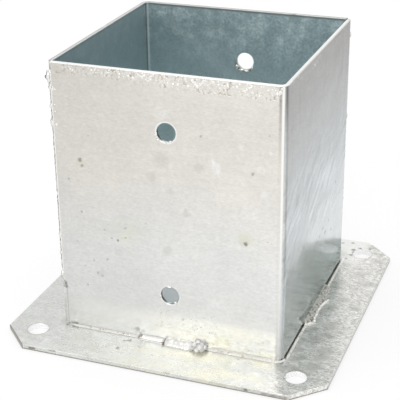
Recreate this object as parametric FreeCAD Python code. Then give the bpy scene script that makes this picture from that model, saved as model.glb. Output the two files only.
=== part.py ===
import FreeCAD, Part
import math
import os

# Timber post base: a square socket for the foot of a post, welded to a flat plate that is
# anchored down. The socket is two sheets, each folded once into an angle, set corner to corner.
# +Z is up. The origin is the middle of the plate's underside. +X is the right-hand side and
# -Y the front, which has two holes for bolts through the post. Sizes are in millimetres.

# Socket
post_room = 121.0          # clear width inside the socket, both ways
sheet_t = 2.0              # thickness of the folded sheets
socket_height = 150.0      # from the plate's top face to the rim
fold_r = 2.0               # inside radius of each fold
root_gap = 0.2             # slit left between the two sheets at a welded corner
sheet_edge_r = 0.4         # rounding of the sheets' free edges, under the zinc

# Holes through the socket for the post's bolts
bolt_hole_d = 10.0
bolt_hole_edge_r = 0.5     # rounding of their rims, where the zinc gathers
upper_hole_drop = 30.5     # from the rim down to the upper hole
hole_pitch = 91.0          # from the upper hole down to the lower one

# Base plate
plate_side = 180.0
plate_t = 3.0
corner_cut = 16.0          # each corner is cut off at 45 degrees by this much along both sides
plate_edge_r = 0.5         # rounding of the plate's outer edges, under the zinc
anchor_hole_d = 11.0
anchor_inset = 17.0        # from the plate's sides in to an anchor hole
anchor_hole_edge_r = 0.3   # rounding of their rims, under the zinc

# Beads of weld in the open grooves of the two unfolded corners
crown_r = 1.9              # from the root of the groove to the bead's crown
corner_bead_drop = 5.0     # from the rim down to the bead's top
corner_bead_rise = 26.0    # from the plate up to its lower end, with the groove left open below

# Stitches of weld between the socket and the plate, one on each side
base_bead_length = 42.0
base_bead_reach = 5.0      # along the plate
base_bead_rise = 4.5       # up the socket
base_bead_bulge = 0.6      # how far its face stands proud of flat
base_bead_shift = 1.5      # along its side, from the side's middle

# Worked out from the sizes above
outer_side = post_room + 2 * sheet_t
half_outer = outer_side / 2
half_room = post_room / 2
rim_z = plate_t + socket_height
upper_hole_z = rim_z - upper_hole_drop
lower_hole_z = upper_hole_z - hole_pitch
bolt_line_x = (half_outer - half_room) / 2     # the front leg's middle
anchor_place = plate_side / 2 - anchor_inset

up = FreeCAD.Vector(0, 0, 1)
along_y = FreeCAD.Vector(0, 1, 0)
same_place = 1e-6          # edges are picked by their place to within this


def point(x, y, z=0.0):
    return FreeCAD.Vector(x, y, z)


def closed_face(edges):
    return Part.Face(Part.Wire(edges))


def outline_face(corners):
    return Part.Face(Part.makePolygon(corners + corners[:1]))


def lies_level(edge, z):
    return all(abs(v.Point.z - z) < same_place for v in edge.Vertexes)


def is_circle(edge, radius):
    return isinstance(edge.Curve, Part.Circle) and abs(edge.Curve.Radius - radius) < same_place


def save(shape, name):
    shape.exportStep("parts/" + name + ".step")
    print(name, "valid", shape.isValid(), "volume", round(shape.Volume, 2))


def turned(shape, degrees):
    """A copy of the shape turned about the socket's upright centre line."""
    copy = shape.copy()
    copy.rotate(point(0, 0), up, degrees)
    return copy


def base_plate():
    """The square plate with its cut corners and an anchor hole near each."""
    s = plate_side / 2
    c = s - corner_cut
    corners = [(c, -s), (s, -c), (s, c), (c, s), (-c, s), (-s, c), (-s, -c), (-c, -s)]
    plate = outline_face([point(x, y) for x, y in corners]).extrude(up * plate_t)
    plate = plate.makeFillet(min(plate_edge_r, 0.4 * plate_t),
                             [e for e in plate.Edges if lies_level(e, 0) or lies_level(e, plate_t)])
    for x in (-anchor_place, anchor_place):
        for y in (-anchor_place, anchor_place):
            plate = plate.cut(Part.makeCylinder(anchor_hole_d / 2, plate_t, point(x, y)))
    rims = [e for e in plate.Edges if is_circle(e, anchor_hole_d / 2)]
    return plate.makeFillet(min(anchor_hole_edge_r, 0.4 * plate_t), rims)


def angle_section():
    """The front-right sheet's outline: front leg, fold, then right leg."""
    outer_r = fold_r + sheet_t
    centre = point(half_outer - outer_r, -half_outer + outer_r)
    slant = point(math.cos(math.radians(45)), -math.sin(math.radians(45)))
    front_end = -half_room
    back_end = half_room - root_gap
    outer = [point(front_end, -half_outer), point(centre.x, -half_outer),
             centre + slant * outer_r, point(half_outer, centre.y), point(half_outer, back_end)]
    inner = [point(half_room, back_end), point(half_room, centre.y),
             centre + slant * fold_r, point(centre.x, -half_room), point(front_end, -half_room)]
    edges = []
    for run in (outer, inner):
        edges.append(Part.LineSegment(run[0], run[1]).toShape())
        edges.append(Part.Arc(run[1], run[2], run[3]).toShape())
        edges.append(Part.LineSegment(run[3], run[4]).toShape())
    edges.insert(3, Part.LineSegment(outer[-1], inner[0]).toShape())
    edges.append(Part.LineSegment(inner[-1], outer[0]).toShape())
    return closed_face(edges)


def is_leg_end(edge):
    """True for an upright edge at the cut end of either leg."""
    spot = edge.Vertexes[0].Point
    at_front_end = abs(spot.x + half_room) < same_place
    at_back_end = abs(spot.y - (half_room - root_gap)) < same_place
    return edge.Length > 0.99 * socket_height and (at_front_end or at_back_end)


def bolt_drills():
    """Two long cylinders that cross the socket from front to back."""
    start = -half_outer - sheet_t
    length = outer_side + 2 * sheet_t
    return [Part.makeCylinder(bolt_hole_d / 2, length, point(bolt_line_x, start, z), along_y)
            for z in (lower_hole_z, upper_hole_z)]


def socket_angle(degrees):
    """One folded sheet with its two bolt holes and rounded edges, turned to its corner."""
    sheet = angle_section().extrude(up * socket_height)
    sheet.translate(up * plate_t)
    for drill in bolt_drills():
        sheet = sheet.cut(turned(drill, -degrees))
    hole_rims = [e for e in sheet.Edges if is_circle(e, bolt_hole_d / 2)]
    sheet = sheet.makeFillet(min(bolt_hole_edge_r, 0.4 * sheet_t), hole_rims)
    free_edges = [e for e in sheet.Edges if lies_level(e, rim_z) or is_leg_end(e)]
    sheet = sheet.makeFillet(min(sheet_edge_r, 0.4 * sheet_t), free_edges)
    return turned(sheet, degrees)


def corner_bead(degrees):
    """Weld metal in the groove of an unfolded corner, with a round crown and round ends."""
    bottom_z = plate_t + corner_bead_rise
    top_z = rim_z - corner_bead_drop
    root = point(-half_room, -half_room + root_gap)
    groove = Part.makeBox(sheet_t, sheet_t + root_gap, top_z - bottom_z,
                          point(-half_outer, -half_outer, bottom_z))
    core = Part.makeCylinder(crown_r, top_z - bottom_z - 2 * crown_r, root + up * (bottom_z + crown_r))
    for z in (bottom_z + crown_r, top_z - crown_r):
        core = core.fuse(Part.makeSphere(crown_r, root + up * z))
    return turned(groove.common(core.removeSplitter()), degrees)


def base_bead_section():
    """The bead's outline at its right-hand end, square to the front of the socket."""
    reach, rise = base_bead_reach, base_bead_rise
    slope = math.hypot(reach, rise)
    mid = point(0, -reach / 2 - base_bead_bulge * rise / slope,
                rise / 2 + base_bead_bulge * reach / slope)
    corner, toe, top = point(0, 0, 0), point(0, -reach, 0), point(0, 0, rise)
    return closed_face([Part.LineSegment(corner, toe).toShape(), Part.Arc(toe, mid, top).toShape(),
                        Part.LineSegment(top, corner).toShape()])


def base_bead(degrees):
    """A bead along the foot of one side, its two ends rounded off against the socket."""
    run = base_bead_length - 2 * base_bead_reach
    section = base_bead_section()
    middle = section.extrude(point(run, 0, 0))
    left_end = section.revolve(point(0, 0, 0), up, -90)
    right_end = section.revolve(point(0, 0, 0), up, 90)
    right_end.translate(point(run, 0, 0))
    bead = middle.fuse([left_end, right_end]).removeSplitter()
    bead.translate(point(base_bead_shift - run / 2, -half_outer, plate_t))
    return turned(bead, degrees)


def make_part():
    save(base_plate(), "base_plate")
    save(socket_angle(0), "socket_angle_front_right")
    save(socket_angle(180), "socket_angle_back_left")
    save(corner_bead(0), "corner_weld_front_left")
    save(corner_bead(180), "corner_weld_back_right")
    for side, degrees in (("front", 0), ("right", 90), ("back", 180), ("left", 270)):
        save(base_bead(degrees), "base_weld_" + side)


os.makedirs("parts", exist_ok=True)
make_part()
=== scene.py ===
# Timber post base, galvanised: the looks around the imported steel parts.
# Metres in the scene, millimetres in the dictionaries. +Z up, the front with the bolt holes at -Y.
import math
from types import SimpleNamespace

import bmesh
import bpy
from mathutils import Matrix, Vector, noise


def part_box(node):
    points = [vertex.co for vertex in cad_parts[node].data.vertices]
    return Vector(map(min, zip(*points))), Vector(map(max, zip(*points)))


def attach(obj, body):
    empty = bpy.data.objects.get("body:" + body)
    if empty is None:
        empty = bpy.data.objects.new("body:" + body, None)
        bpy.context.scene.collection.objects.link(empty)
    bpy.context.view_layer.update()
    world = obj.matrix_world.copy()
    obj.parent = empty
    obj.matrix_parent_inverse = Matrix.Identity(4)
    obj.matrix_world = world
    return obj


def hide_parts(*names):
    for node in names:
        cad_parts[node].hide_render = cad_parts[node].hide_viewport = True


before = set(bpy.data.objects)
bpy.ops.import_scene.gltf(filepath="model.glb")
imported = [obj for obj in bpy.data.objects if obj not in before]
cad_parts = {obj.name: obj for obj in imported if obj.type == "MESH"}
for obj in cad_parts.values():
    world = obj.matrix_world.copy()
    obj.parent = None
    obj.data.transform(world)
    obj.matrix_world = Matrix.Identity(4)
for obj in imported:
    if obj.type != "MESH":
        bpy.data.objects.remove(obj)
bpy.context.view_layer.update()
mm = 0.001

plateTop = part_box("base_plate")[1].z
# Places in mm, from the socket's upright axis or up from the floor.
outerFace = round(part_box("socket_angle_front_right")[1].x / mm, 3)
sheetThickness = 2.0
innerFace = outerFace - sheetThickness
midWall = 61.4                              # parts the inside's colours from the outside's
foldRadius = 4.0
byFold = 3300.0                             # -X times Y is more than this only near a fold
grooveRoot = (-60.5, -60.3, 0)              # where the two sheets meet at the front left
holeAlong = 1.0                             # the bolt holes, to the right of the middle
holeHeights = (122.5, 31.5)
anchorPlace = 73.0                          # the plate's four holes, both ways
print("frame loaded:", len(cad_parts), "steel pieces")


# A socket of a shader or geometry tree, which Python's own signs add, multiply and compare.
class Wire:
    def __init__(self, tree, socket=None):
        self.tree = tree
        self.socket = socket

    def node(self, kind, settings, inlets, outlet=0):
        made = self.tree.nodes.new(kind)
        for name, value in settings.items():
            if name == "stops":
                setStops(made.color_ramp, value)
            else:
                setattr(made, name, value)
        for key, value in inlets.items():
            if isinstance(value, Wire):
                self.tree.links.new(value.socket, made.inputs[key])
            else:
                made.inputs[key].default_value = value
        return Wire(self.tree, made.outputs[outlet] if made.outputs else None)

    def math(self, operation, *others):
        return self.node("ShaderNodeMath", {"operation": operation}, dict(enumerate((self, *others))))

    def __add__(self, other):
        return self.math("ADD", other)

    def __mul__(self, other):
        return self.math("MULTIPLY", other)

    def __sub__(self, other):
        return self.math("SUBTRACT", other)

    def __rsub__(self, other):
        return self.node("ShaderNodeMath", {"operation": "SUBTRACT"}, {0: other, 1: self})

    def __truediv__(self, other):
        return self.math("DIVIDE", other)

    def __rtruediv__(self, other):
        return self.node("ShaderNodeMath", {"operation": "DIVIDE"}, {0: other, 1: self})

    def __lt__(self, other):
        return self.math("LESS_THAN", other)

    def __gt__(self, other):
        return self.math("GREATER_THAN", other)

    __radd__ = __add__
    __rmul__ = __mul__

    def size(self):                         # how far from nought, either way
        return self.math("ABSOLUTE")

    def ramp(self, low, high):              # eased 0 to 1 as the value goes from low to high
        span = {0: self, 1: low, 2: high, 3: 0.0, 4: 1.0}
        return self.node("ShaderNodeMapRange", {"interpolation_type": "SMOOTHSTEP"}, span)

    def band(self, low, full, less, high):  # 1 from full to less, eased to 0 at low and at high
        return self.ramp(low, full) * (1 - self.ramp(less, high))

    def shaken(self, cloudy, reach):        # moved either way by up to half the reach
        return self + cloudy * reach - reach / 2

    def toward(self, first, second):        # colour between two, by this value
        span = {0: self, 6: first, 7: second}
        return self.node("ShaderNodeMix", {"data_type": "RGBA"}, span, 2)

    def tinted(self, other, share=1.0):     # this colour times another
        span = {0: share, 6: self, 7: other}
        return self.node("ShaderNodeMix", {"data_type": "RGBA", "blend_type": "MULTIPLY"}, span, 2)


def setStops(colorRamp, stops):
    while len(colorRamp.elements) < len(stops):
        colorRamp.elements.new(1.0)
    for element, (place, colour) in zip(colorRamp.elements, stops):
        element.position = place
        element.color = colour


def grey(level):
    return (level, level, level, 1.0)


cameraPlace = {
    "aim": (-4.56, -1.73, 59.79),           # mm, on the line of sight, by the socket's axis
    "distance": 648.8,                      # mm
    "azimuth": 20.78,                       # degrees to the right of the front
    "elevation": 24.19,
    "roll": -0.74,
    "lens": 104.4,
    "sensor": 36.0,
}


def makeCamera(place):
    data = bpy.data.cameras.new("camera")
    data.lens = place["lens"]
    data.sensor_width = place["sensor"]
    data.clip_start = 0.01
    camera = bpy.data.objects.new("camera", data)
    bpy.context.scene.collection.objects.link(camera)
    turn = Matrix.Rotation(math.radians(place["azimuth"]), 3, "Z")
    tilt = Matrix.Rotation(math.radians(90 - place["elevation"]), 3, "X")
    roll = Matrix.Rotation(math.radians(place["roll"]), 3, "Z")
    facing = turn @ tilt @ roll
    camera.matrix_world = facing.to_4x4()
    camera.location = Vector(place["aim"]) * mm + facing @ Vector((0, 0, place["distance"] * mm))
    bpy.context.scene.camera = camera


stageLook = {
    "floorSide": 8.0,                       # m
    "floorColour": grey(0.98),
    "shadowKept": 0.35,                     # how much of the shadow on the floor still shows
    "worldLight": 0.9,
    "glossyBounces": 12,                    # the inside of the socket is lit through many mirrorings
}
lamps = {                                   # m and watts
    "front_softbox": {"place": (-0.20, -0.98, 0.58), "size": 0.60, "power": 1.75},
    "overhead_softbox": {"place": (-0.10, 0.10, 1.4), "size": 0.8, "power": 3.0},
}
floorCard = {                               # mm: a card seen only in the metal, a painted reflection of the floor to the right, greyer as it goes
    "spanX": (84.0, 700.0),
    "spanY": (-60.0, 1100.0),
    "lift": 1.0,
    "greyBy": 110.0,                        # from its near side to where it is greyest
    "stops": [(0.0, (1.0, 1.0, 1.0, 1.0)), (0.16, (0.90, 0.92, 0.93, 1.0)),
              (0.26, (0.80, 0.82, 0.83, 1.0)), (0.38, (0.745, 0.75, 0.755, 1.0)),
              (0.52, (0.69, 0.685, 0.68, 1.0)), (0.67, (0.65, 0.63, 0.615, 1.0)),
              (1.0, (0.61, 0.585, 0.57, 1.0))],
}
backCard = {                                # mm: a glowing grey-green card to the back right, a painted reflection seen only in the metal
    "spanX": (110.0, 800.0),
    "spanZ": (330.0, 950.0),
    "y": 1250.0,
    "colour": (0.50, 0.56, 0.545, 1.0),
}


def seenPlainly(wire):                      # 1 for camera, mirror and glass rays, else 0
    camera = wire.node("ShaderNodeLightPath", {}, {}, "Is Camera Ray")
    glossy = wire.node("ShaderNodeLightPath", {}, {}, "Is Glossy Ray")
    through = wire.node("ShaderNodeLightPath", {}, {}, "Is Transmission Ray")
    return (camera + glossy + through).math("MINIMUM", 1.0)


def emptyMaterial(name):
    material = bpy.data.materials.new(name)
    material.use_nodes = True
    material.node_tree.nodes.clear()
    return material, Wire(material.node_tree)


def makeWorld(look):
    world = bpy.data.worlds.new("world")
    bpy.context.scene.world = world
    world.use_nodes = True
    world.node_tree.nodes.clear()
    start = Wire(world.node_tree)
    strength = look["worldLight"] + (1 - look["worldLight"]) * seenPlainly(start)
    light = start.node("ShaderNodeBackground", {}, {"Color": grey(1.0), "Strength": strength})
    start.node("ShaderNodeOutputWorld", {}, {"Surface": light})


def makeQuad(name, corners, material):
    mesh = bpy.data.meshes.new(name)
    mesh.from_pydata([Vector(corner) * mm for corner in corners], [], [(0, 1, 2, 3)])
    mesh.materials.append(material)
    quad = bpy.data.objects.new(name, mesh)
    bpy.context.scene.collection.objects.link(quad)
    return quad


def makeFloor(look):
    material, start = emptyMaterial("floor")
    paper = start.node("ShaderNodeBsdfDiffuse", {}, {"Color": look["floorColour"]})
    white = start.node("ShaderNodeEmission", {}, {"Color": grey(1.0), "Strength": 1.0})
    share = seenPlainly(start) * (1 - look["shadowKept"])
    mixed = start.node("ShaderNodeMixShader", {}, {0: share, 1: paper, 2: white})
    start.node("ShaderNodeOutputMaterial", {}, {"Surface": mixed})
    half = look["floorSide"] / 2 / mm
    makeQuad("floor", [(-half, -half, 0), (half, -half, 0), (half, half, 0), (-half, half, 0)], material)


def mirroredOnly(quad):                     # a card that shows in the metal and nowhere else, as a painted reflection
    quad.visible_camera = False
    quad.visible_diffuse = False
    quad.visible_shadow = False


def makeFloorCard(card):
    material, start = emptyMaterial("floor_reflection_card")
    lowX, highX = card["spanX"]
    lowY, highY = card["spanY"]
    spot = spotInMm(start)
    along = (apart(start, spot)[0] - lowX) / card["greyBy"]
    colour = start.node("ShaderNodeValToRGB", {"stops": card["stops"]}, {0: along})
    light = start.node("ShaderNodeEmission", {}, {"Color": colour})
    start.node("ShaderNodeOutputMaterial", {}, {"Surface": light})
    z = card["lift"]
    corners = [(lowX, lowY, z), (highX, lowY, z), (highX, highY, z), (lowX, highY, z)]
    mirroredOnly(makeQuad("floor_reflection_card", corners, material))


def makeBackCard(card):
    material, start = emptyMaterial("back_reflection_card")
    light = start.node("ShaderNodeEmission", {}, {"Color": card["colour"]})
    start.node("ShaderNodeOutputMaterial", {}, {"Surface": light})
    lowX, highX = card["spanX"]
    lowZ, highZ = card["spanZ"]
    y = card["y"]
    corners = [(highX, y, lowZ), (lowX, y, lowZ), (lowX, y, highZ), (highX, y, highZ)]
    mirroredOnly(makeQuad("back_reflection_card", corners, material))


def makeLamp(name, lamp):
    data = bpy.data.lights.new(name, "AREA")
    data.shape = "SQUARE"
    data.size = lamp["size"]
    data.energy = lamp["power"]
    light = bpy.data.objects.new(name, data)
    bpy.context.scene.collection.objects.link(light)
    light.location = lamp["place"]
    light.rotation_euler = Vector(lamp["place"]).to_track_quat("Z", "Y").to_euler()


# Patterns that the zinc finishes share. Lengths in them are millimetres.
def spotInMm(start):
    place = start.node("ShaderNodeTexCoord", {}, {}, "Object")
    return start.node("ShaderNodeVectorMath", {"operation": "SCALE"}, {0: place, "Scale": 1 / mm})


def apart(start, vector):
    return [start.node("ShaderNodeSeparateXYZ", {}, {0: vector}, k) for k in range(3)]


def joined(start, x, y, z):
    return start.node("ShaderNodeCombineXYZ", {}, {0: x, 1: y, 2: z})


def cloud(start, vector, size, detail=3.0, rough=0.5):      # soft noise with features of this size
    inlets = {"Vector": vector, "Scale": 1 / size, "Detail": detail, "Roughness": rough}
    return start.node("ShaderNodeTexNoise", {}, inlets)


def specks(start, vector, spacing, share, low, high):       # 1 on scattered dots, 0 elsewhere
    cells = {"Vector": vector, "Scale": 1 / spacing, "Randomness": 1.0}
    far = start.node("ShaderNodeTexVoronoi", {}, cells, "Distance") * spacing
    pick = start.node("ShaderNodeTexVoronoi", {}, cells, "Color")
    chosen = start.node("ShaderNodeSeparateColor", {}, {0: pick}, 0) < share
    radius = start.node("ShaderNodeSeparateColor", {}, {0: pick}, 1) * (high - low) + low
    return (1 - (far / radius).ramp(0.6, 1.0)) * chosen


def spotsAt(first, second, places):         # soft dots at (first, second, radius, strength)
    total = None
    for a, b, radius, strength in places:
        away = ((first - a) * (first - a) + (second - b) * (second - b)).math("SQRT")
        dot = (1 - away.ramp(radius * 0.3, radius)) * strength
        total = dot if total is None else total.math("MAXIMUM", dot)
    return total


def stripesAt(first, second, places):       # soft lines at (from, to, second, half width, strength)
    total = None
    for low, high, level, half, strength in places:
        line = (1 - (second - level).size().ramp(half * 0.4, half)) * strength
        line = line * first.ramp(low - 0.6, low + 0.6) * (1 - first.ramp(high - 0.6, high + 0.6))
        total = line if total is None else total.math("MAXIMUM", line)
    return total


def fromHole(x, z, height):                 # how far from the middle of a bolt hole
    dx, dz = x - holeAlong, z - height
    return (dx * dx + dz * dz).math("SQRT")


def greyed(start, level):                   # a colour from one number
    return start.node("ShaderNodeCombineColor", {}, {0: level, 1: level, 2: level})


def finish(start, metallic, colour, rough, height):
    inlets = {"Base Color": colour, "Metallic": metallic, "Roughness": rough}
    bump = {"Height": height, "Distance": mm, "Strength": 1.0}
    inlets["Normal"] = start.node("ShaderNodeBump", {}, bump)
    surface = start.node("ShaderNodeBsdfPrincipled", {}, inlets)
    start.node("ShaderNodeOutputMaterial", {}, {"Surface": surface})


sheetZinc = {
    "warm": (0.97, 0.94, 0.875, 1.0),       # tint of the upper part of the outside
    "cool": (0.96, 0.96, 0.94, 1.0),        # and of the lower part
    "left": 0.69,                           # painted reflection: how pale the front is at its left and right ends
    "right": 0.81,
    "side": (0.655, 0.68, 0.69, 1.0),       # left and right walls
    "sideFootReflection": (0.62, 0.685, 0.665, 1.0),  # times this, low on them: a painted reflection of the plate
    "inside": (0.52, 0.625, 0.65, 1.0),
    "insidePale": (0.76, 0.82, 0.82, 1.0),
    "insideMiddle": (0.73, 0.84, 0.86, 1.0),
    "insideDeep": (0.93, 0.95, 0.93, 1.0),
    # The rims: a painted highlight at the front and right, grey on the others.
    "rim": (0.90, 0.90, 0.88, 1.0),
    "rimGrey": (0.40, 0.41, 0.40, 1.0),
    # The painted highlight along the folds.
    "fold": (0.97, 0.95, 0.90, 1.0),
    "dark": (0.24, 0.25, 0.23, 1.0),        # specks and pits, and painted shade in creases, seams, edges and folds
    # Painted shade in the gap under the side walls and inside the bolt holes.
    "gapShade": (0.10, 0.085, 0.065, 1.0),
    "brown": (0.36, 0.30, 0.22, 1.0),       # dirt and painted shade between the crumbs under the rim
    "halo": (0.72, 0.73, 0.58, 1.0),        # yellow-green ring by the larger bumps
    "stain": (0.55, 0.51, 0.40, 1.0),
    "metallic": 0.9,
    "frontRough": 0.22,
    "sideRough": 0.15,
    "insideRough": 0.40,
}
# Marks on the front: along the wall, up from the floor, radius, strength.
frontPits = [(-46.8, 102, 1.7, 0.75), (-45.9, 98.9, 1.1, 0.6), (42.6, 68.4, 1.7, 0.9),
             (45.9, 106.5, 1.2, 0.6), (-23.2, 66.7, 0.8, 0.5), (-27.5, 59.1, 1, 0.9),
             (-23.3, 61.2, 0.8, 0.6), (-47.5, 72.7, 0.9, 0.6), (-46.4, 29.8, 0.8, 0.6),
             (-40, 38, 1.2, 0.35), (-37.5, 36.6, 1.2, 0.3), (19.5, 123, 1, 0.5),
             (-54, 90.5, 0.9, 0.5), (-60, 28.2, 1.9, 1), (-59.6, 26.4, 1.5, 0.9),
             (-16.6, 5, 1.7, 0.9), (-14, 4.6, 1.5, 0.7), (-18.6, 7.4, 1.7, 0.85), (-15.2, 7.2, 1.3, 0.6),
             (52, 13, 0.9, 0.5), (-31, 60, 0.7, 0.5),
             (-35, 64, 0.7, 0.4), (-34, 47, 0.9, 0.4), (-42, 45, 0.8, 0.4),
             (-51, 55, 0.8, 0.4), (8, 18.5, 0.8, 0.5), (15, 16, 0.8, 0.5)]
frontSmears = [(27, 108, 3.4, 0.9), (25.4, 110.4, 2.6, 1), (28.6, 105.6, 2.2, 0.8),
               (50, 109.5, 3, 0.5), (40, 119.5, 2.4, 0.5), (55, 119, 1.2, 0.8),
               (3, 148, 4, 0.4), (-16, 150, 5, 0.4), (-1, 133, 5, 0.4),
               (47, 88, 4, 0.4), (52, 96, 3, 0.5), (44, 84, 2, 0.5)]
frontSmudges = [(18, 106, 4, 0.5), (11, 80, 3, 0.5), (0, 58, 4, 0.4),
                (-8, 98, 3.6, 0.4), (-27, 52, 3, 0.3), (3, 91, 3, 0.3),
                (47, 52, 3, 0.2), (-38, 38, 3.4, 0.4), (55, 14, 2.6, 0.6),
                (42, 69, 3.6, 0.5), (-46.5, 100.5, 3.4, 0.4), (-2, 108, 6, 0.4)]
frontHalos = [(42.5, 71, 6, 0.6), (-22, 66, 11, 0.4), (-46.5, 101, 5, 0.3),
              (31, 10, 5, 1), (27, 8, 3, 0.8), (50, 5, 4, 0.7)]
# Painted shade in the creases along the foot of the front: from, to, up from the floor, half width,
# strength.
frontCreaseShade = [(-16, -3.4, 5, 0.5, 0.75), (-1.5, 9, 6, 0.4, 0.30), (-58, -54, 4.3, 0.8, 0.9),
              (24, 57, 4.6, 0.45, 0.35)]
# Pits in the right wall: along it, up from the floor, radius, strength.
sidePits = [(19, 41, 1.8, 0.7), (14, 46, 1.4, 0.6), (26, 45.5, 1.2, 0.5),
            (38, 64, 1.6, 0.6), (7, 43.5, 1.4, 0.5), (-25.8, 51.9, 1.6, 0.6),
            (3.5, 41.1, 1.8, 0.7), (32.5, 37.1, 1.4, 0.6), (-2, 44, 1.2, 0.6)]


# Places, directions and noises that all of the sheets' finish uses. The bend is 0 on the front and
# the back, 1 on the sides and between them round a fold.
def sheetGround(start):
    spot = spotInMm(start)
    x, y, z = apart(start, spot)
    facing = apart(start, start.node("ShaderNodeNewGeometry", {}, {}, "Normal"))
    broad = facing[1].size().ramp(0.75, 0.95)               # the front and the back
    within = (x.size() < midWall) * (y.size() < midWall)
    return SimpleNamespace(
        start=start, spot=spot, x=x, y=y, z=z, bend=facing[0].size(), fold=(0 - x * y) > byFold,
        broad=broad, front=broad * (y < 0.0), within=within, without=1 - within,
        clouds=cloud(start, spot, 34.0, 3.0), blotch=cloud(start, spot, 9.0, 3.0),
        crumb=cloud(start, spot, 2.4, 3.0, 0.6),
        grain=cloud(start, joined(start, x * 0.4, y * 0.4, z), 0.8, 2.0, 0.7))


def frontColour(look, wall):                # and the back's
    start, x, z = wall.start, wall.x, wall.z
    drawn = cloud(start, joined(start, x * 0.05, wall.y * 0.05, z), 2.6, 4.0)
    # Painted reflection: the front paler towards its right end.
    paleness = x.ramp(-75.0, 45.0) * (look["right"] - look["left"]) + look["left"]
    mottle = (0.92 + 0.16 * wall.clouds) * (0.94 + 0.12 * wall.blotch) * (0.91 + 0.18 * wall.crumb)
    mottle = mottle * (0.86 + 0.28 * wall.grain)
    shade = paleness * mottle * (0.95 + 0.10 * drawn) * (1 - 0.045 * z.ramp(85.0, 130.0))
    low = 1 - (z + wall.clouds * 40.0).ramp(75.0, 125.0)
    return low.toward(look["warm"], look["cool"]).tinted(greyed(start, shade))


# The left and right walls: wavy streaks half way up, upright bands above, painted shade high up and in
# patches on the right wall, and a darker painted reflection of the plate at its foot.
def sideColour(look, wall):
    start, spot, x, y, z = wall.start, wall.spot, wall.x, wall.y, wall.z
    warped = 4.0 * cloud(start, spot, 20.0, 2.0)
    along, across = y * 0.87 + z * 0.5, z * 0.87 - y * 0.5 + warped
    wavy = cloud(start, joined(start, across, along * 0.16, x), 3.4, 4.0, 0.62)
    where = cloud(start, spot, 24.0, 2.0).ramp(0.38, 0.60)
    streaks = (wavy - 0.5) * z.ramp(34.0, 54.0) * (1 - z.ramp(88.0, 116.0)) * (0.30 + 0.70 * where)
    streaks = streaks * (0.4 + 0.6 * (x > 0.0))
    bands = cloud(start, joined(start, x * 0.2, y, z * 0.06), 5.0, 3.0, 0.6)
    patchy = cloud(start, joined(start, y * 0.4, z, x), 5.0, 4.0, 0.6)
    shade = (0.93 + 0.14 * wall.clouds) * (1 + 1.4 * streaks) * (0.91 + 0.18 * bands)
    shade = shade * (0.88 + 0.24 * patchy) * (0.82 + 0.36 * wall.grain)
    # Painted shade: darker near the top of the right wall and in two patches.
    paintedDarkening = z.ramp(112.0, 150.0) * 0.13 + (y.ramp(0.0, 40.0) * z.ramp(72.0, 92.0)) * 0.08
    paintedDarkening = paintedDarkening + (1 - y.ramp(-34.0, -6.0)) * (1 - (z - 62.0).size().ramp(6.0, 20.0)) * 0.13
    shade = shade * (1 - paintedDarkening * (x > 0.0))
    # A painted reflection of the plate, darker and greenish, low on the right wall.
    foot = z + 0.35 * (y + 25.0).math("MAXIMUM", 0.0) + wall.blotch * 8.0
    foot = (1 - foot.ramp(49.0, 57.0)) * (x > 0.0) * (0.35 + 0.65 * y.ramp(-55.0, 0.0))
    side = greyed(start, shade).tinted(look["side"])
    plateReflection = side.tinted(look["sideFootReflection"]).tinted(greyed(start, 0.80 + 0.40 * patchy))
    return foot.toward(side, plateReflection), streaks


def withMarks(look, wall, colour):          # smudges, smears, halos, pits, painted crease shade and dust on the outside
    x, z, front, blotch, crumb = wall.x, wall.z, wall.front, wall.blotch, wall.crumb
    smudge = spotsAt(x.shaken(blotch, 4.0), z.shaken(crumb, 3.0), frontSmudges) * front * 0.35
    colour = smudge.toward(colour, look["dark"])
    smear = spotsAt(x, z.shaken(blotch, 3.0), frontSmears) * front * crumb.ramp(0.3, 0.6) * 0.7
    colour = smear.toward(colour, grey(0.92))
    halos = spotsAt(x.shaken(crumb, 2.0), z, frontHalos) * front * blotch.ramp(0.35, 0.6)
    colour = halos.toward(colour, look["halo"])
    pits = spotsAt(x.shaken(crumb, 2.0), z.shaken(crumb, 1.6), frontPits)
    # The pits take in the painted shade in the creases.
    pits = pits.math("MAXIMUM", stripesAt(x, z + crumb - 0.5, frontCreaseShade)) * front
    atSide = spotsAt(wall.y.shaken(crumb, 2.0), z.shaken(blotch, 3.0), sidePits)
    pits = pits.math("MAXIMUM", atSide * (1 - wall.broad) * (x > 0.0))
    dust = specks(wall.start, wall.spot, 6.0, 0.16, 0.25, 0.65)
    return pits.math("MAXIMUM", dust * 0.5).toward(colour, look["dark"]), pits


# Crumbs of dross under the rim with dirt and painted shade between them, more of it below the lower hole.
def withDross(look, wall, colour):
    start, spot, x, z = wall.start, wall.spot, wall.x, wall.z
    ragged = 147.5 - x.ramp(-50.0, 20.0) * 3.0 + wall.blotch * 6.0 - 3.0
    under = (z - ragged).ramp(0.0, 1.2) * wall.broad * wall.without
    cells = {"Vector": spot, "Scale": 1 / 1.5, "Randomness": 1.0}
    gaps = start.node("ShaderNodeTexVoronoi", {}, cells, "Distance") * 1.5
    thick = under * cloud(start, spot, 4.0, 3.0, 0.6).ramp(0.42, 0.60)
    crumbs = gaps.ramp(0.80, 1.15) * thick
    loose = specks(start, spot, 1.9, 0.22, 0.2, 0.6) * (z > ragged + 1.0) * wall.broad * wall.without
    sprayed = (x - 8.0).size().ramp(10.0, 24.0) + (z - 17.0).size().ramp(3.0, 8.0)
    spray = specks(start, spot, 2.2, 0.22, 0.25, 0.7) * wall.front * (sprayed < 0.6)
    loose = loose.math("MAXIMUM", spray)
    colour = (thick * (1 - gaps.ramp(0.3, 0.6)) * 0.5).toward(colour, grey(0.93))
    # Dirt and painted shade between the crumbs, and loose brown specks.
    colour = (crumbs * 0.65).math("MAXIMUM", loose * 0.5).toward(colour, look["brown"])
    return colour, 0.14 * crumbs, 0.06 * loose
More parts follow.
